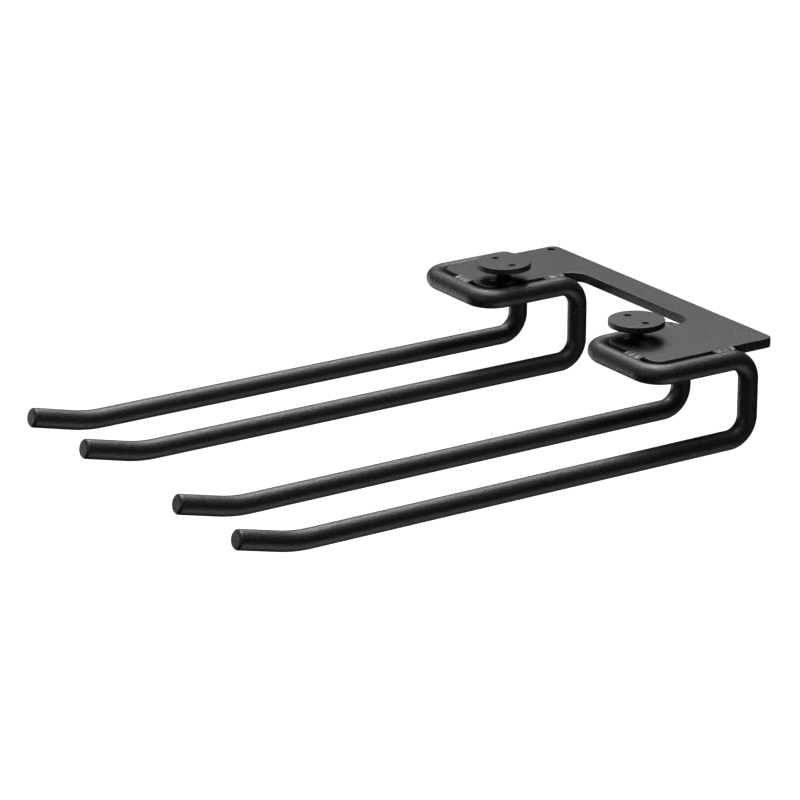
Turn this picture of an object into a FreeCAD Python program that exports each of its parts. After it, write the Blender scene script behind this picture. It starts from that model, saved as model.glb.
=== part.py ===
"""Under-shelf hanging rack: a flat steel plate with two welded round-bar hooks and two screw clamps.

Units are millimetres. The origin is at the middle of the plate's cross bar, on the top face that
bears on the shelf. +Z is up, -Y points along the prongs to their tips, and +X is to the right of
someone who faces the tips.
"""
import FreeCAD, Part
import math
import os

Vec = FreeCAD.Vector

# Plate: a cross bar with two arms that point forward, cut from flat steel
plate_thickness = 4.0
arm_spacing = 115.0
arm_width = 34.4
arm_length = 44.4
bar_depth = 13.6
back_corner_radius = 3.5
notch_corner_radius = 8.0

# Hanging hole in the left back corner
hanging_hole_diameter = 3.5
hanging_hole_from_side = 3.8
hanging_hole_from_back = 4.6

# Hook rods: round bar, bent cold into one continuous loop each
rod_diameter = 8.0
bend_radius = 9.0
leg_setback = 16.0
hook_drop = 33.0
prong_reach = 209.5
tip_angle = 14.0
tip_bend_radius = 55.0
tip_length = 25.5
tip_edge_radius = 1.2

# Stitch welds between the plate's edges and the rods
weld_gap = 0.3
weld_length = 10.0
weld_sink = 0.2
weld_root = 3.0
side_weld_from_leg = 10.0
left_front_weld_shift = 1.3
right_front_weld_shift = 4.5

# Screw clamps: a disc on a threaded stud that is screwed into the plate
disc_diameter = 22.6
disc_thickness = 2.5
disc_gap = 5.5
disc_edge_radius = 0.3
disc_inset = 11.5
disc_setback = 11.5
spanner_hole_diameter = 3.0
spanner_hole_spacing = 12.0
stud_diameter = 6.0
stud_projection = 2.0
stud_end_chamfer = 0.7
spigot_diameter = 4.0
spigot_depth = 1.4
running_clearance = 0.05

# Two points nearer than this are the same point
same_point = 1e-4

# Places that follow from the sizes above
rod_radius = rod_diameter / 2
rod_z = -rod_radius
prong_z = rod_z - hook_drop
seat_offset = rod_radius + weld_gap
back_y = bar_depth / 2
leg_y = back_y - leg_setback
arm_front_y = -bar_depth / 2 - arm_length
loop_front_y = arm_front_y - seat_offset
loop_half_width = arm_width / 2 + seat_offset
arm_corner_radius = bend_radius - seat_offset
arm_centre_x = arm_spacing / 2
clamp_y = arm_front_y + disc_setback
clamp_x = arm_centre_x - disc_inset
disc_z = disc_gap


def rounded_prism(corners, radii, bottom, height):
    """Extrude a closed outline whose corners are rounded by tangent arcs of the given radii."""
    count = len(corners)
    starts, middles, ends = [], [], []
    for i, corner in enumerate(corners):
        to_last = (corners[i - 1] - corner).normalize()
        to_next = (corners[(i + 1) % count] - corner).normalize()
        half_angle = to_last.getAngle(to_next) / 2
        tangent_length = radii[i] / math.tan(half_angle)
        bisector = (to_last + to_next).normalize()
        starts.append(corner + to_last * tangent_length)
        middles.append(corner + bisector * (radii[i] / math.sin(half_angle) - radii[i]))
        ends.append(corner + to_next * tangent_length)
    edges = []
    for i in range(count):
        edges.append(Part.Arc(starts[i], middles[i], ends[i]).toShape())
        edges.append(Part.LineSegment(ends[i], starts[(i + 1) % count]).toShape())
    face = Part.Face(Part.Wire(edges))
    face.translate(Vec(0, 0, bottom))
    return face.extrude(Vec(0, 0, height))


def bent_path(points, radii):
    """Join the points by straight runs, with a tangent arc of the given radius at each inner point."""
    edges = []
    run_start = points[0]
    length = 0.0
    for corner, following, radius in zip(points[1:-1], points[2:], radii):
        to_last = (run_start - corner).normalize()
        to_next = (following - corner).normalize()
        half_angle = to_last.getAngle(to_next) / 2
        tangent_length = radius / math.tan(half_angle)
        bisector = (to_last + to_next).normalize()
        arc_start = corner + to_last * tangent_length
        arc_middle = corner + bisector * (radius / math.sin(half_angle) - radius)
        arc_end = corner + to_next * tangent_length
        edges.append(Part.LineSegment(run_start, arc_start).toShape())
        edges.append(Part.Arc(arc_start, arc_middle, arc_end).toShape())
        length += (arc_start - run_start).Length + radius * (math.pi - 2 * half_angle)
        run_start = arc_end
    edges.append(Part.LineSegment(run_start, points[-1]).toShape())
    length += (points[-1] - run_start).Length
    return Part.Wire(edges), length


def cylinder(radius, height, x, y, bottom):
    """A vertical cylinder whose lower face is centred at x, y, bottom."""
    return Part.makeCylinder(radius, height, Vec(x, y, bottom), Vec(0, 0, 1))


def mounting_plate():
    """The U-shaped plate, with its hanging hole and the two tapped holes for the studs, drawn plain."""
    outer_x = arm_centre_x + arm_width / 2
    inner_x = arm_centre_x - arm_width / 2
    notch_y = -bar_depth / 2
    corners = [
        Vec(-outer_x, back_y, 0),
        Vec(-outer_x, arm_front_y, 0),
        Vec(-inner_x, arm_front_y, 0),
        Vec(-inner_x, notch_y, 0),
        Vec(inner_x, notch_y, 0),
        Vec(inner_x, arm_front_y, 0),
        Vec(outer_x, arm_front_y, 0),
        Vec(outer_x, back_y, 0),
    ]
    arm_end = [arm_corner_radius, arm_corner_radius]
    radii = [back_corner_radius] + arm_end + [notch_corner_radius] * 2 + arm_end + [back_corner_radius]
    plate = rounded_prism(corners, radii, -plate_thickness, plate_thickness)
    hole_x = -outer_x + hanging_hole_from_side
    hole_y = back_y - hanging_hole_from_back
    plate = plate.cut(cylinder(hanging_hole_diameter / 2, plate_thickness, hole_x, hole_y, -plate_thickness))
    tapped_radius = stud_diameter / 2 + running_clearance
    for side in (-1, 1):
        plate = plate.cut(cylinder(tapped_radius, plate_thickness, side * clamp_x, clamp_y, -plate_thickness))
    return plate


def hook_rod(side):
    """One bar: tip, prong, leg, round the arm, leg, prong and tip."""
    slope = math.radians(tip_angle)
    vertex_y = leg_y - prong_reach
    tip_y = vertex_y - tip_length * math.cos(slope)
    tip_z = prong_z + tip_length * math.sin(slope)
    half_route = [
        Vec(loop_half_width, tip_y, tip_z),
        Vec(loop_half_width, vertex_y, prong_z),
        Vec(loop_half_width, leg_y, prong_z),
        Vec(loop_half_width, leg_y, rod_z),
        Vec(loop_half_width, loop_front_y, rod_z),
    ]
    other_half = [Vec(-point.x, point.y, point.z) for point in reversed(half_route)]
    shift = Vec(side * arm_centre_x, 0, 0)
    points = [point + shift for point in half_route + other_half]
    half_radii = [tip_bend_radius, bend_radius, bend_radius, bend_radius]
    path, length = bent_path(points, half_radii + half_radii[::-1])
    start_direction = points[1] - points[0]
    section = Part.Wire(Part.makeCircle(rod_radius, points[0], start_direction))
    rod = path.makePipeShell([section], True, False)
    ends = [edge for edge in rod.Edges if is_end_circle(edge, points[0]) or is_end_circle(edge, points[-1])]
    rod = rod.makeFillet(tip_edge_radius, ends)
    print("rod length", round(length, 1), "volume ratio", round(rod.Volume / (math.pi * rod_radius**2 * length), 4))
    return rod


def is_end_circle(edge, centre):
    """Whether an edge is the full circle about this centre, at one end of a bar or a stud."""
    return isinstance(edge.Curve, Part.Circle) and (edge.Curve.Center - centre).Length < same_point


def weld_bead(centre, along, towards_rod, rod):
    """The weld metal in the groove between the plate's edge and the rod, shaped by both of them."""
    start = centre - along * (weld_length / 2)
    top = Vec(0, 0, -weld_sink)
    bottom = Vec(0, 0, -weld_root)
    reach = towards_rod * seat_offset
    outline = [start + top, start + top + reach, start + bottom + reach, start + bottom, start + top]
    block = Part.Face(Part.makePolygon(outline)).extrude(along * weld_length)
    filling = block.cut(rod)
    return max(filling.Solids, key=lambda solid: solid.Volume)


def welds(side, rod):
    """The front, inner and outer welds of one arm, by name."""
    x = side * arm_centre_x
    outward = Vec(side, 0, 0)
    forward = Vec(0, -1, 0)
    side_y = leg_y - side_weld_from_leg
    front_x = x + (left_front_weld_shift if side < 0 else right_front_weld_shift)
    edge = arm_width / 2
    return {
        "front_weld": weld_bead(Vec(front_x, arm_front_y, 0), Vec(1, 0, 0), forward, rod),
        "outer_weld": weld_bead(Vec(x + side * edge, side_y, 0), Vec(0, 1, 0), outward, rod),
        "inner_weld": weld_bead(Vec(x - side * edge, side_y, 0), Vec(0, 1, 0), -outward, rod),
    }


def clamp_disc(side):
    """The round clamp head, with two holes for a pin spanner and a blind seat for the stud's spigot."""
    x = side * clamp_x
    disc = cylinder(disc_diameter / 2, disc_thickness, x, clamp_y, disc_z)
    rims = [edge for edge in disc.Edges if isinstance(edge.Curve, Part.Circle)]
    disc = disc.makeFillet(disc_edge_radius, rims)
    for direction in (-1, 1):
        hole_x = x + direction * spanner_hole_spacing / 2
        disc = disc.cut(cylinder(spanner_hole_diameter / 2, disc_thickness, hole_x, clamp_y, disc_z))
    seat = cylinder(spigot_diameter / 2 + running_clearance, spigot_depth + running_clearance, x, clamp_y, disc_z)
    return disc.cut(seat)


def clamp_stud(side):
    """The threaded stud under the disc, drawn plain at its full thread diameter."""
    x = side * clamp_x
    bottom = -plate_thickness - stud_projection
    top = disc_z - running_clearance
    stud = cylinder(stud_diameter / 2, top - bottom, x, clamp_y, bottom)
    lower_rim = [edge for edge in stud.Edges if is_end_circle(edge, Vec(x, clamp_y, bottom))]
    stud = stud.makeChamfer(stud_end_chamfer, lower_rim)
    spigot = cylinder(spigot_diameter / 2, spigot_depth + running_clearance, x, clamp_y, top)
    return stud.fuse(spigot).removeSplitter()


nodes = {"mounting_plate": mounting_plate()}
for side_name, side_sign in (("left", -1), ("right", 1)):
    rod = hook_rod(side_sign)
    nodes[side_name + "_hook_rod"] = rod
    for weld_name, weld in welds(side_sign, rod).items():
        nodes[side_name + "_" + weld_name] = weld
    nodes[side_name + "_clamp_stud"] = clamp_stud(side_sign)
    nodes[side_name + "_clamp_disc"] = clamp_disc(side_sign)

os.makedirs("parts", exist_ok=True)
for name, shape in nodes.items():
    shape.exportStep("parts/" + name + ".step")
    print(name, len(shape.Solids), "solid", round(shape.Volume, 2), "mm3", shape.isValid())
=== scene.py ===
"""Under-shelf hanging rack: a steel plate with two bent-bar hooks welded on and two screw clamps.

The script follows the rack through the workshop: the plate is cut, the hook bars are bent and
welded to it, the clamps are screwed in, and the finished rack is set up in a white studio.
Sizes are in millimetres until a mesh is made. The studio's are in metres.
"""
import math

import bpy
import numpy as np
from mathutils import Matrix, Vector, geometry


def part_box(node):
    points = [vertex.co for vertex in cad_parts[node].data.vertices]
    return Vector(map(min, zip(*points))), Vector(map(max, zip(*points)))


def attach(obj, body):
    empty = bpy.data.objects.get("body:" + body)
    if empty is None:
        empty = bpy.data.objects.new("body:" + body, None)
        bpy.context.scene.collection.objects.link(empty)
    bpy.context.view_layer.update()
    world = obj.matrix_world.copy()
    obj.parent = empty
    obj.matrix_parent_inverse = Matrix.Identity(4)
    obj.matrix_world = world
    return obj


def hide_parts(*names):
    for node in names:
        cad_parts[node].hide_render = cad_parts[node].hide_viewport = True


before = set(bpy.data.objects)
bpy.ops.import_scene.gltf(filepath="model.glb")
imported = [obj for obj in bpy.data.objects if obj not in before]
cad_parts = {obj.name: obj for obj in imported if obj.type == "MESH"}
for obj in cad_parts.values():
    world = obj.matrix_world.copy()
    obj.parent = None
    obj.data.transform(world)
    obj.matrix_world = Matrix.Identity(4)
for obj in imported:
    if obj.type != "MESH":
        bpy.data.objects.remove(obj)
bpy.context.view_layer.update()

# ---------------------------------------------------------------------------------------------
# Mounting plate. The real one is laser-cut from 4 mm mild steel, with a hole near one corner
# that hangs it in the coating line and a tapped hole in each arm. The cut edges are tumbled,
# and the powder coat rounds them a little more.
# ---------------------------------------------------------------------------------------------
MM = 0.001
plate_low, plate_high = (np.array(corner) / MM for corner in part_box("mounting_plate"))
left_bar_low, left_bar_high = (np.array(corner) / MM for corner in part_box("left_hook_rod"))
right_bar_low = np.array(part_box("right_hook_rod")[0]) / MM
stud_low, stud_high = (np.array(corner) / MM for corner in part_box("right_clamp_stud"))

bar_diameter = 8.0
bar_radius = bar_diameter / 2
plate_to_bar_gap = 0.3
seat = bar_radius + plate_to_bar_gap
arm_outer_x = plate_high[0]
arm_inner_x = right_bar_low[0] + bar_radius + seat
arm_centre_x = (arm_outer_x + arm_inner_x) / 2
arm_half_width = (arm_outer_x - arm_inner_x) / 2
arm_front_y = plate_low[1]
plate_back_y = plate_high[1]
notch_y = -plate_back_y

bend_radius = 9.0
arm_corner_radius = bend_radius - seat
back_corner_radius = 3.5
notch_corner_radius = 8.0
hanging_hole_radius = 1.75
hanging_hole_from_side = 3.8
hanging_hole_from_back = 4.6
clamp_x = (stud_low[0] + stud_high[0]) / 2
clamp_y = (stud_low[1] + stud_high[1]) / 2
tapped_hole_radius = 3.05
plate_edge_rounding = 0.35
hole_edge_rounding = 0.25
edge_rounding_steps = 5
# A ring of points this far inside a rounded edge keeps the shading of the flat face flat
edge_support = 0.25
# Two points nearer than this are the same point
same_point = 1e-6
# The kind of triangulation that stays inside the outer outline. It fills the holes as well
inside_outline = 2


def rounded_outline(corners, radii, steps=10):
    """A closed outline with its corners rounded, as points and outward normals.

    Each corner becomes an arc tangent to both of its sides: its centre lies on the corner's
    bisector, and its points are the centre plus the radius times a turning unit vector. The
    corners run anticlockwise, so the outward normal points right of the way along.
    """
    points = []
    normals = []
    lasts = np.roll(corners, 1, 0)
    followings = np.roll(corners, -1, 0)
    for last, corner, following, radius in zip(lasts, corners, followings, radii):
        way_in = (corner - last) / np.linalg.norm(corner - last)
        way_out = (following - corner) / np.linalg.norm(following - corner)
        turn = math.atan2(way_in[0] * way_out[1] - way_in[1] * way_out[0], way_in @ way_out)
        side = math.copysign(1.0, turn)
        arc_start = corner - way_in * radius * math.tan(abs(turn) / 2)
        right_of_way = np.array([way_in[1], -way_in[0]])
        centre = arc_start - right_of_way * side * radius
        start_angle = math.atan2(right_of_way[1], right_of_way[0])
        angle = start_angle + turn * np.linspace(0, 1, steps)
        unit = np.stack([np.cos(angle), np.sin(angle)], 1)
        points.append(centre + unit * side * radius)
        normals.append(unit)
    return np.concatenate(points), np.concatenate(normals)


def round_hole(x, y, radius, steps=40):
    """A round hole's outline: points on a circle, with normals that point to its centre."""
    angle = np.linspace(0, 2 * math.pi, steps, endpoint=False)
    unit = np.stack([np.cos(angle), np.sin(angle)], 1)
    return np.array([x, y]) + unit * radius, -unit


def quads_between_rings(first, ring_count, ring_size):
    """Faces between rings of points: ring i, point j joins ring i + 1, point j, round and round."""
    ring, place = np.meshgrid(np.arange(ring_count - 1), np.arange(ring_size), indexing="ij")
    here = first + ring * ring_size + place
    beside = first + ring * ring_size + (place + 1) % ring_size
    return np.stack([here, beside, beside + ring_size, here + ring_size], -1).reshape(-1, 4)


def cut_sheet(outer, holes, bottom, top, outer_rounding, hole_rounding):
    """A flat sheet with holes and rounded edges, as points and faces.

    Each outline is carried down a profile: two rings on the top face, a quarter circle to the
    wall, a quarter circle to the bottom face, and two rings there. A ring is the outline moved
    inwards by the profile's inset. The flat faces between the innermost rings are triangulated,
    and a triangle whose corners all lie on one hole's ring fills that hole, so it is dropped.
    """
    points = []
    faces = []
    top_rings = []
    bottom_rings = []
    count = 0
    for number, (line, normal) in enumerate([outer] + holes):
        rounding = hole_rounding if number else outer_rounding
        turn = np.linspace(0, math.pi / 2, edge_rounding_steps)
        inset = np.concatenate([[rounding + edge_support], rounding * (1 - np.sin(turn))])
        drop = np.concatenate([[0], rounding * (1 - np.cos(turn))])
        inset = np.concatenate([inset, inset[::-1]])
        height = np.concatenate([top - drop, bottom + drop[::-1]])
        rings = line[None] - normal[None] * inset[:, None, None]
        heights = np.broadcast_to(height[:, None, None], rings.shape[:2] + (1,))
        points.append(np.concatenate([rings, heights], 2).reshape(-1, 3))
        size = len(line)
        walls = quads_between_rings(count, len(inset), size)
        faces += (walls if number else walls[:, ::-1]).tolist()
        top_rings.append(np.arange(count, count + size))
        bottom_rings.append(np.arange(count + (len(inset) - 1) * size, count + len(inset) * size))
        count += len(inset) * size
    points = np.concatenate(points)
    for rings, upward in ((top_rings, True), (bottom_rings, False)):
        index = np.concatenate(rings)
        starts = np.cumsum([0] + [len(ring) for ring in rings])
        edges = []
        for start, end in zip(starts[:-1], starts[1:]):
            place = np.arange(start, end)
            edges += np.stack([place, np.roll(place, -1)], 1).tolist()
        flat_points = points[index, :2].tolist()
        filled = geometry.delaunay_2d_cdt(flat_points, edges, [], inside_outline, same_point)
        source = np.array([origin[0] for origin in filled[3]])
        corners = source[np.array(filled[2])]
        ring_of_corner = np.searchsorted(starts, corners, side="right") - 1
        in_hole = (ring_of_corner == ring_of_corner[:, :1]).all(1) & (ring_of_corner[:, 0] > 0)
        triangles = index[corners[~in_hole]]
        faces += (triangles if upward else triangles[:, ::-1]).tolist()
    return points, faces


def new_piece(name, points, faces, smooth_up_to=40):
    """An object whose mesh holds these points, given in millimetres, with its soft edges smooth."""
    mesh = bpy.data.meshes.new(name)
    mesh.from_pydata((np.asarray(points) * MM).tolist(), [], [tuple(face) for face in faces])
    mesh.shade_smooth()
    mesh.set_sharp_from_angle(angle=math.radians(smooth_up_to))
    mesh.update()
    piece = bpy.data.objects.new(name, mesh)
    bpy.context.scene.collection.objects.link(piece)
    return piece


def linear(hex_colour):
    """An sRGB hex colour as linear red, green, blue and alpha."""
    srgb = np.array([int(hex_colour[i:i + 2], 16) for i in (1, 3, 5)]) / 255
    flat = np.where(srgb <= 0.04045, srgb / 12.92, ((srgb + 0.055) / 1.055) ** 2.4)
    return (*flat.tolist(), 1.0)


def add_node(tree, kind, inputs=None):
    """Add a node, and set or link each named input."""
    made = tree.nodes.new(kind)
    for socket, value in (inputs or {}).items():
        if isinstance(value, bpy.types.NodeSocket):
            tree.links.new(value, made.inputs[socket])
        else:
            made.inputs[socket].default_value = value
    return made


def powder_coat():
    """Fine-textured matt black polyester powder, baked on.

    The powder melts into a skin of low grains, which breaks up every reflection. The real grains
    are about 0.5 mm across and are drawn at 1 mm so that they show. Their tops are a touch
    smoother than the pits between them. Their colour holds painted light and painted shade: it is
    a touch lighter on the tops and darker in the pits. Weak waves of orange peel lie underneath.
    """
    grain = 1.0
    grain_depth = 0.23
    peel = 4.0
    peel_depth = 0.10
    material = bpy.data.materials.new("fine_texture_black_powder_coat")
    material.use_nodes = True
    tree = material.node_tree
    tree.nodes.clear()
    place = add_node(tree, "ShaderNodeTexCoord").outputs["Object"]
    grains = add_node(tree, "ShaderNodeTexNoise", {
        "Vector": place, "Scale": 1 / (grain * MM), "Detail": 2.0, "Roughness": 0.7}).outputs["Fac"]
    waves = add_node(tree, "ShaderNodeTexNoise", {
        "Vector": place, "Scale": 1 / (peel * MM), "Detail": 1.0, "Roughness": 0.5}).outputs["Fac"]
    # Painted light and shade: the grain tops are coloured lighter and the pits between them darker
    tint = add_node(tree, "ShaderNodeValToRGB", {"Fac": grains})
    tint.color_ramp.elements[0].position = 0.35
    tint.color_ramp.elements[0].color = linear("#101112")
    tint.color_ramp.elements[1].position = 0.65
    tint.color_ramp.elements[1].color = linear("#2e2e2f")
    gloss = add_node(tree, "ShaderNodeMapRange", {
        "Value": grains, "From Min": 0.3, "From Max": 0.7,
        "To Min": 0.50, "To Max": 0.36}).outputs["Result"]
    peel_bump = add_node(tree, "ShaderNodeBump", {
        "Height": waves, "Strength": 0.25, "Distance": peel_depth * MM}).outputs["Normal"]
    skin = add_node(tree, "ShaderNodeBump", {
        "Height": grains, "Strength": 1.0, "Distance": grain_depth * MM,
        "Normal": peel_bump}).outputs["Normal"]
    shader = add_node(tree, "ShaderNodeBsdfPrincipled", {
        "Base Color": tint.outputs["Color"], "Roughness": gloss, "IOR": 1.5, "Normal": skin})
    add_node(tree, "ShaderNodeOutputMaterial", {"Surface": shader.outputs["BSDF"]})
    return material


plate_corners = np.array([
    [-arm_outer_x, plate_back_y], [-arm_outer_x, arm_front_y], [-arm_inner_x, arm_front_y],
    [-arm_inner_x, notch_y], [arm_inner_x, notch_y], [arm_inner_x, arm_front_y],
    [arm_outer_x, arm_front_y], [arm_outer_x, plate_back_y]])
arm_end_radii = [arm_corner_radius] * 2
plate_radii = [back_corner_radius] + arm_end_radii + [notch_corner_radius] * 2 + arm_end_radii
plate_radii += [back_corner_radius]
hanging_hole_x = -arm_outer_x + hanging_hole_from_side
hanging_hole_y = plate_back_y - hanging_hole_from_back
plate_holes = [
    round_hole(hanging_hole_x, hanging_hole_y, hanging_hole_radius),
    round_hole(-clamp_x, clamp_y, tapped_hole_radius),
    round_hole(clamp_x, clamp_y, tapped_hole_radius)]
plate = new_piece("laser_cut_plate", *cut_sheet(
    rounded_outline(plate_corners, plate_radii), plate_holes, plate_low[2], plate_high[2],
    plate_edge_rounding, hole_edge_rounding))
black_coat = powder_coat()
plate.data.materials.append(black_coat)
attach(plate, "bracket")
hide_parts("mounting_plate")

# ---------------------------------------------------------------------------------------------
# Hook bars. Each is one length of 8 mm round bar, bent cold, mostly to a 9 mm radius at its
# centre line: tip up, prong back to the heel, leg up, round the plate's arm, and the same again
# on the other side. The sawn ends are dressed to a small radius.
# ---------------------------------------------------------------------------------------------
leg_y = left_bar_high[1] - bar_radius
loop_z = left_bar_high[2] - bar_radius
prong_z = left_bar_low[2] + bar_radius
loop_front_y = arm_front_y - seat
loop_half_width = arm_half_width + seat
prong_reach = 209.5
tip_angle = math.radians(14.0)
tip_length = 25.5
tip_bend_radius = 55.0
dressed_edge = 1.2
dressed_edge_steps = 6
around_bar = 48


def bent_centreline(corners, radii, steps=22):
    """The line through these corners with a tangent arc at each inner one, as points and directions.

    An arc's points are its centre plus the radius times a unit vector that turns from the
    run's side normal towards the way out.
    """
    points = [corners[0]]
    ways = [(corners[1] - corners[0]) / np.linalg.norm(corners[1] - corners[0])]
    for last, corner, following, radius in zip(corners, corners[1:], corners[2:], radii):
        way_in = (corner - last) / np.linalg.norm(corner - last)
        way_out = (following - corner) / np.linalg.norm(following - corner)
        turn = math.acos(way_in @ way_out)
        towards_centre = way_out - way_in * (way_in @ way_out)
        towards_centre /= np.linalg.norm(towards_centre)
        arc_start = corner - way_in * radius * math.tan(turn / 2)
        angle = turn * np.linspace(0, 1, steps)[:, None]
        centre = arc_start + towards_centre * radius
        points.append(centre + radius * (way_in * np.sin(angle) - towards_centre * np.cos(angle)))
        ways.append(way_in * np.cos(angle) + towards_centre * np.sin(angle))
    points.append(corners[-1])
    ways.append(way_out)
    return np.vstack(points), np.vstack(ways)


def end_fans(ring_count, around):
    """Triangles that close the first and the last of these rings, each with one point of its own.

    The two points follow the rings' own: the first closes the first ring, the next the last one.
    """
    place = np.arange(around)
    beside = (place + 1) % around
    count = ring_count * around
    last_ring = count - around
    first_fan = np.stack([np.full(around, count), beside, place], 1)
    last_fan = np.stack([np.full(around, count + 1), last_ring + place, last_ring + beside], 1)
    return np.vstack([first_fan, last_fan])


def closed_tube(centres, sides, ups, radii, around):
    """A tube with closed ends: each ring is centre + radius (side cos a + up sin a).

    One point at each end closes it with a fan of triangles.
    """
    angle = np.linspace(0, 2 * math.pi, around, endpoint=False)
    unit = sides[:, None] * np.cos(angle)[None, :, None] + ups[:, None] * np.sin(angle)[None, :, None]
    rings = (centres[:, None] + unit * radii[:, None, None]).reshape(-1, 3)
    points = np.vstack([rings, centres[:1], centres[-1:]])
    walls = quads_between_rings(0, len(centres), around)[:, ::-1]
    fans = end_fans(len(centres), around)[:, [0, 2, 1]]
    return points, walls.tolist() + fans.tolist()


def bent_bar(centre_x):
    """One hook bar: a round section carried along the bent centreline, with dressed ends."""
    vertex_y = leg_y - prong_reach
    tip_y = vertex_y - tip_length * math.cos(tip_angle)
    tip_z = prong_z + tip_length * math.sin(tip_angle)
    half = np.array([
        [loop_half_width, tip_y, tip_z],
        [loop_half_width, vertex_y, prong_z],
        [loop_half_width, leg_y, prong_z],
        [loop_half_width, leg_y, loop_z],
        [loop_half_width, loop_front_y, loop_z]])
    corners = np.vstack([half, half[::-1] * [-1, 1, 1]])
    half_radii = [tip_bend_radius, bend_radius, bend_radius, bend_radius]
    line, way = bent_centreline(corners, half_radii + half_radii[::-1])
    turn = np.linspace(0, math.pi / 2, dressed_edge_steps)
    inward = np.concatenate([[0.0], dressed_edge * (1 - np.cos(turn))])
    end_face_radius = bar_radius - dressed_edge - edge_support
    shrunk = np.concatenate([[end_face_radius], bar_radius - dressed_edge * (1 - np.sin(turn))])
    start = line[0] + way[0] * inward[:, None]
    end = line[-1] - way[-1] * inward[::-1, None]
    line = np.vstack([start, line[1:-1], end])
    way = np.vstack([np.repeat(way[:1], len(start), 0), way[1:-1], np.repeat(way[-1:], len(end), 0)])
    radii = np.concatenate([shrunk, np.full(len(line) - 2 * len(shrunk), bar_radius), shrunk[::-1]])
    up = np.array([0.0, 0.0, 1.0])
    outward = np.sign(line[:, :1]) * np.array([1.0, 0.0, 0.0])
    in_loop = (line[:, 2] > loop_z - same_point)[:, None]
    sides = np.where(in_loop, np.cross(up, way), outward)
    ups = np.cross(way, sides)
    return closed_tube(line + [centre_x, 0, 0], sides, ups, radii, around_bar)


for name, centre_x in (("left", -arm_centre_x), ("right", arm_centre_x)):
    bar = new_piece(name + "_bent_bar", *bent_bar(centre_x))
    bar.data.materials.append(black_coat)
    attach(bar, "bracket")
    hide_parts(name + "_hook_rod")

# ---------------------------------------------------------------------------------------------
# Stitch welds. Three short runs of weld wire hold each bar to its arm. The metal fills the
# groove between the plate's edge and the bar nearly flush, with faint ripples that curve back
# from the torch, and the powder coat covers it all.
# ---------------------------------------------------------------------------------------------
weld_length = 10.0
front_weld_shifts = {"left": 1.3, "right": 4.5}
side_weld_y = leg_y - 10.0
weld_root_z = -3.0
# The weld's hidden underside, as four points across the groove from the bar to the plate
root_across = [1.0, 0.45, 0.2, -0.15]
root_heights = [-1.9, weld_root_z, weld_root_z, -1.6]
root_clearance = 0.05
plate_toe = -0.9
bar_toe = 2.8
plate_toe_height = 0.05
ripple_pitch = 1.7
ripple_height = 0.012
ripple_bow = 1.0
crown_height = 0.17
end_slope = 0.35
end_drop = 2.4
weld_smooth_up_to = 60
# The torch's wander is a sum of this many waves, the slowest at this rate in radians per
# millimetre. It shifts the toe, the crown and the ripples by these shares of itself
wander_waves = 3
wander_rate = 0.6
toe_wander = 0.12
crown_wander = 0.07
ripple_wander = 0.15
torch_draws = np.random.default_rng(6)


def weld_run(middle, along, across):
    """One weld: a skin carried along the run, closed at both ends, as points and faces.

    Across the run the skin goes from the toe on the plate to the toe on the bar, then back
    under through the root. Its height is the straight line between the toes, plus an arch
    sin(pi v) times the sum of the crown, a slow wander and the ripples, whose phase lags with
    the square of the distance from the middle. The wander is a sum of sine waves along the
    run. At the ends the skin falls into the groove along a quarter ellipse.
    """
    rows = 73
    columns = 19
    s = np.linspace(-0.5, 0.5, rows)[:, None] * weld_length
    v = np.linspace(0, 1, columns)[None]
    wander = torch_draws.normal(0, 1, wander_waves)
    wave = sum(amount * np.sin((k + 1) * wander_rate * s + k) for k, amount in enumerate(wander))
    toe = bar_toe + toe_wander * wave
    q = plate_toe + (toe - plate_toe) * v
    toe_height = loop_z + np.sqrt(bar_radius**2 - (toe - seat) ** 2)
    arch = np.sin(math.pi * v)
    phase = (s - ripple_bow * (2 * v - 1) ** 2 + ripple_wander * wave) / ripple_pitch
    skin = plate_toe_height + (toe_height - plate_toe_height) * v
    ripples = ripple_height * np.cos(2 * math.pi * phase)
    skin = skin + arch * (crown_height + crown_wander * wave + ripples)
    end = np.clip((weld_length / 2 - np.abs(s)) / end_slope, 0, 1)
    skin = skin - end_drop * (1 - np.sqrt(1 - (1 - end) ** 2))
    root_q = np.array(root_across)[None].repeat(rows, 0)
    root_z = np.array(root_heights)[None].repeat(rows, 0)
    all_q = np.hstack([q, root_q])
    all_z = np.hstack([skin, np.minimum(root_z, skin[:, -1:] - root_clearance)])
    rings = middle + all_q[..., None] * across + s[..., None] * along
    rings[..., 2] = all_z
    around = rings.shape[1]
    ends = rings[[0, -1]].mean(1)
    points = np.vstack([rings.reshape(-1, 3), ends])
    walls = quads_between_rings(0, rows, around)
    faces = np.vstack([walls[:, [0, 1, 2]], walls[:, [0, 2, 3]], end_fans(rows, around)])
    handed = np.cross(along, across)[2]
    return points, (faces if handed < 0 else faces[:, ::-1]).tolist()


for name, side in (("left", -1), ("right", 1)):
    outward = np.array([side, 0.0, 0.0])
    front_x = side * arm_centre_x + front_weld_shifts[name]
    runs = {
        "front_weld": ([front_x, arm_front_y, 0], [1, 0, 0], [0, -1, 0]),
        "outer_weld": ([side * arm_outer_x, side_weld_y, 0], [0, 1, 0], outward),
        "inner_weld": ([side * arm_inner_x, side_weld_y, 0], [0, 1, 0], -outward)}
    for run, (middle, along, across) in runs.items():
        bead = weld_run(np.array(middle, float), np.array(along), np.array(across))
        weld = new_piece(f"{name}_{run}_run", *bead, weld_smooth_up_to)
        weld.data.materials.append(black_coat)
        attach(weld, "bracket")
        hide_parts(f"{name}_{run}")

# ---------------------------------------------------------------------------------------------
# Clamp studs. M6 steel screws with a rolled thread, black oxide from a hot salt bath and a film
# of oil. The stud is fixed in its disc, so both turn together as it screws through the plate.
# ---------------------------------------------------------------------------------------------
thread_pitch = 1.0
thread_depth = 0.61
thread_radius = 3.0
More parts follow.
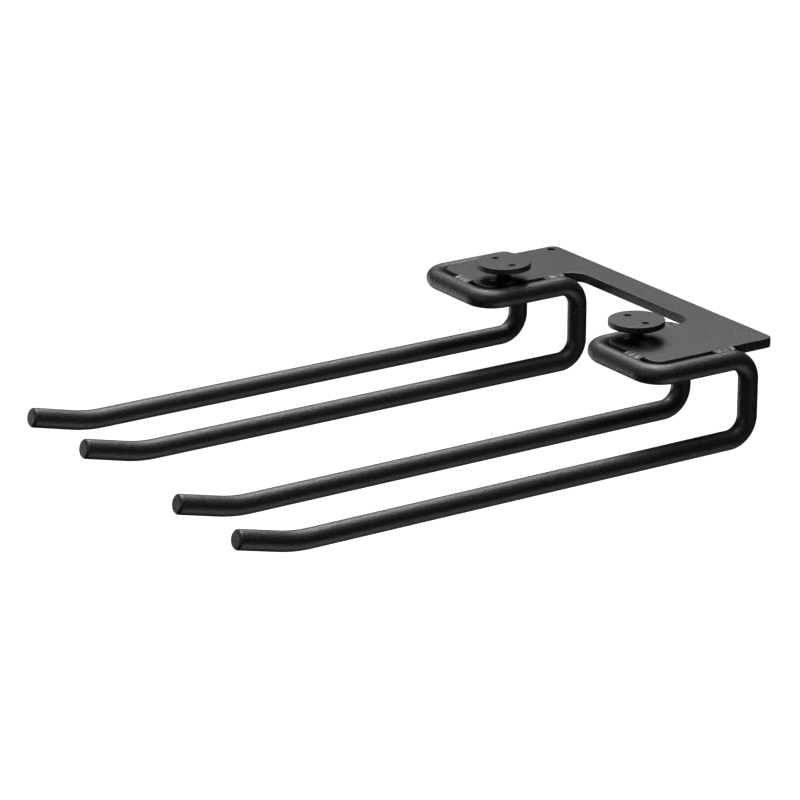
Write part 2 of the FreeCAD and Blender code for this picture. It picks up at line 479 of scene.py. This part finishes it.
# Flat crest and sloping flank, as shares of half a pitch
crest_share = 0.12
flank_share = 0.76
end_chamfer = 0.7
plain_neck = 0.8
stud_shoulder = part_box("right_clamp_disc")[0][2] / MM
around_stud = 64
rows_per_pitch = 14


def threaded_stud(centre_x):
    """The stud: radius as a function of angle and height on one grid, closed at both ends.

    The thread is a triangle wave of (height / pitch - angle / turn) with its crests and roots
    cut flat. The radius is then the lesser of that and of the chamfer's cone at the lower end,
    and the plain neck's at the upper end.
    """
    rows = int((stud_shoulder - stud_low[2]) / thread_pitch * rows_per_pitch)
    z = np.linspace(stud_low[2], stud_shoulder, rows)[:, None]
    angle = np.linspace(0, 2 * math.pi, around_stud, endpoint=False)[None]
    phase = (z / thread_pitch - angle / (2 * math.pi)) % 1.0
    flank = np.abs(2 * phase - 1)
    radius = thread_radius - thread_depth * np.clip((flank - crest_share) / flank_share, 0, 1)
    radius = np.minimum(radius, thread_radius - end_chamfer + (z - stud_low[2]))
    neck = z > stud_shoulder - plain_neck
    radius = np.where(neck, thread_radius - thread_depth, radius)
    rings = np.stack([centre_x + radius * np.cos(angle), clamp_y + radius * np.sin(angle),
                      np.broadcast_to(z, radius.shape)], -1).reshape(-1, 3)
    poles = np.array([[centre_x, clamp_y, stud_low[2]], [centre_x, clamp_y, stud_shoulder]])
    walls = quads_between_rings(0, rows, around_stud)
    return np.vstack([rings, poles]), walls.tolist() + end_fans(rows, around_stud).tolist()


def black_oxide():
    """Hot black oxide on steel: a thin magnetite film, blue-black and half dull under its oil."""
    blotch = 1.5
    material = bpy.data.materials.new("oiled_black_oxide_steel")
    material.use_nodes = True
    tree = material.node_tree
    tree.nodes.clear()
    place = add_node(tree, "ShaderNodeTexCoord").outputs["Object"]
    blotches = add_node(tree, "ShaderNodeTexNoise", {
        "Vector": place, "Scale": 1 / (blotch * MM), "Detail": 3.0}).outputs["Fac"]
    tint = add_node(tree, "ShaderNodeValToRGB", {"Fac": blotches})
    tint.color_ramp.elements[0].color = linear("#1c1e21")
    tint.color_ramp.elements[1].color = linear("#34373b")
    gloss = add_node(tree, "ShaderNodeMapRange", {
        "Value": blotches, "To Min": 0.30, "To Max": 0.45}).outputs["Result"]
    shader = add_node(tree, "ShaderNodeBsdfPrincipled", {
        "Base Color": tint.outputs["Color"], "Roughness": gloss, "Metallic": 0.6})
    add_node(tree, "ShaderNodeOutputMaterial", {"Surface": shader.outputs["BSDF"]})
    return material


oxide = black_oxide()
for name, centre_x in (("left", -clamp_x), ("right", clamp_x)):
    stud = new_piece(name + "_threaded_stud", *threaded_stud(centre_x))
    stud.data.materials.append(oxide)
    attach(stud, name + "_disc")
    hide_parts(name + "_clamp_stud")

# ---------------------------------------------------------------------------------------------
# Clamp discs. Turned from bar, with two holes drilled through for a pin spanner and the sharp
# edges broken. They are coated with the plate.
# ---------------------------------------------------------------------------------------------
disc_low, disc_high = (np.array(corner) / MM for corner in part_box("right_clamp_disc"))
disc_radius = (disc_high[0] - disc_low[0]) / 2
spanner_hole_radius = 1.5
spanner_hole_spacing = 12.0
disc_edge_rounding = 0.3
spanner_edge_rounding = 0.15
around_disc = 96
around_spanner_hole = 32


def turned_disc(centre_x):
    """The disc: a circle with two round holes, cut from a sheet of the disc's thickness."""
    rim, rim_normal = round_hole(centre_x, clamp_y, disc_radius, around_disc)
    holes = []
    for way in (-1, 1):
        hole_x = centre_x + way * spanner_hole_spacing / 2
        holes.append(round_hole(hole_x, clamp_y, spanner_hole_radius, around_spanner_hole))
    return cut_sheet(
        (rim, -rim_normal), holes, disc_low[2], disc_high[2],
        disc_edge_rounding, spanner_edge_rounding)


for name, centre_x in (("left", -clamp_x), ("right", clamp_x)):
    disc = new_piece(name + "_spanner_disc", *turned_disc(centre_x))
    disc.data.materials.append(black_coat)
    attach(disc, name + "_disc")
    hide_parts(name + "_clamp_disc")

# ---------------------------------------------------------------------------------------------
# Studio. The rack hangs in the air as it does under a shelf, over a pale floor, among seven
# soft panels. The floor glows enough to stay white under any shadow. It doesn't light the rack,
# isn't reflected in it, and lets the light of a panel below it through.
# ---------------------------------------------------------------------------------------------
camera_azimuth = math.radians(56.89)
light_distance = 1.6
light_target = Vector((0.0, -0.1, 0.0))
floor_drop = 1.1
room_radius = 8.0
room_cove = 2.0
wall_height = 9.0
room_cap_radius = 0.01
room_sides = 64


def plain_material(name, colour, glow):
    """A flat studio surface, with some glow of its own so that it stays white."""
    material = bpy.data.materials.new(name)
    material.use_nodes = True
    tree = material.node_tree
    tree.nodes.clear()
    shader = add_node(tree, "ShaderNodeBsdfPrincipled", {
        "Base Color": linear(colour), "Roughness": 0.9,
        "Emission Color": linear(colour), "Emission Strength": glow})
    add_node(tree, "ShaderNodeOutputMaterial", {"Surface": shader.outputs["BSDF"]})
    return material


def room():
    """A round floor that curves up into a wall: radius and height as functions of one profile angle."""
    turn = np.linspace(0, math.pi / 2, 9)
    curve = room_radius - room_cove + room_cove * np.sin(turn)
    radius = np.concatenate([[room_cap_radius], curve, [room_radius]])
    height = np.concatenate([[0.0], room_cove * (1 - np.cos(turn)), [wall_height]]) - floor_drop
    angle = np.linspace(0, 2 * math.pi, room_sides, endpoint=False)
    rings = np.stack([radius[:, None] * np.cos(angle), radius[:, None] * np.sin(angle),
                      np.broadcast_to(height[:, None], (len(radius), len(angle)))], -1)
    points = rings.reshape(-1, 3) / MM
    cap = [list(range(len(angle)))]
    return points, quads_between_rings(0, len(radius), len(angle)).tolist() + cap


floor = new_piece("studio_floor", *room())
floor.data.materials.append(plain_material("pale_floor", "#f4f4f4", 1.2))
floor.visible_diffuse = False
floor.visible_glossy = False
floor.visible_shadow = False


def soft_light(name, around, above, size, radiance):
    """A square area light that faces the rack, at a fixed distance from it in metres.

    Its place is given as degrees clockwise from the camera, seen from above, and degrees above
    the rack. A flat panel that gives this radiance puts out radiance times pi times its area.
    """
    lamp = bpy.data.lights.new(name, "AREA")
    lamp.shape = "SQUARE"
    lamp.size = size
    lamp.energy = radiance * math.pi * size**2
    light = bpy.data.objects.new(name, lamp)
    bpy.context.scene.collection.objects.link(light)
    turn = camera_azimuth - math.pi / 2 - math.radians(around)
    height = math.radians(above)
    towards = Vector((
        math.cos(turn) * math.cos(height),
        math.sin(turn) * math.cos(height),
        math.sin(height)))
    light.location = towards * light_distance + light_target
    light.rotation_euler = towards.to_track_quat("Z", "Y").to_euler()
    light.visible_camera = False


soft_light("rear_softbox", 180, 58, 0.8, 11.5)
soft_light("ceiling_panel", 0, 90, 1.1, 5.6)
soft_light("rear_left_panel", 120, 52, 1.1, 1.6)
soft_light("rear_panel", 180, 52, 1.1, 1.4)
soft_light("front_left_panel", 45, 18, 1.1, 0.8)
soft_light("left_floor_bounce", 135, -20, 1.1, 2.1)
soft_light("right_floor_bounce", 300, -54, 1.1, 1.5)

world = bpy.data.worlds.new("studio_air")
bpy.context.scene.world = world
world.use_nodes = True
world.node_tree.nodes.clear()
air = add_node(world.node_tree, "ShaderNodeBackground", {"Color": linear("#ffffff"), "Strength": 0.01})
add_node(world.node_tree, "ShaderNodeOutputWorld", {"Surface": air.outputs["Background"]})

# The camera looks down on the rack from its front right, through a long lens.
camera_elevation = math.radians(19.23)
camera_distance = 1.4642
camera_target = np.array([0.01282, -0.1292, -0.01841])
focal_length = 168.7
sensor_width = 36.0

towards_camera = np.array([
    math.cos(camera_elevation) * math.sin(camera_azimuth),
    -math.cos(camera_elevation) * math.cos(camera_azimuth),
    math.sin(camera_elevation)])
to_the_right = np.array([math.cos(camera_azimuth), math.sin(camera_azimuth), 0.0])
lens = bpy.data.cameras.new("camera")
lens.lens = focal_length
lens.sensor_width = sensor_width
camera = bpy.data.objects.new("camera", lens)
bpy.context.scene.collection.objects.link(camera)
turned = np.stack([to_the_right, np.cross(towards_camera, to_the_right), towards_camera], 1)
camera.matrix_world = Matrix(np.vstack([
    np.column_stack([turned, camera_target + camera_distance * towards_camera]), [0, 0, 0, 1]]).tolist())
bpy.context.scene.camera = camera
bpy.context.scene.view_settings.view_transform = "Standard"
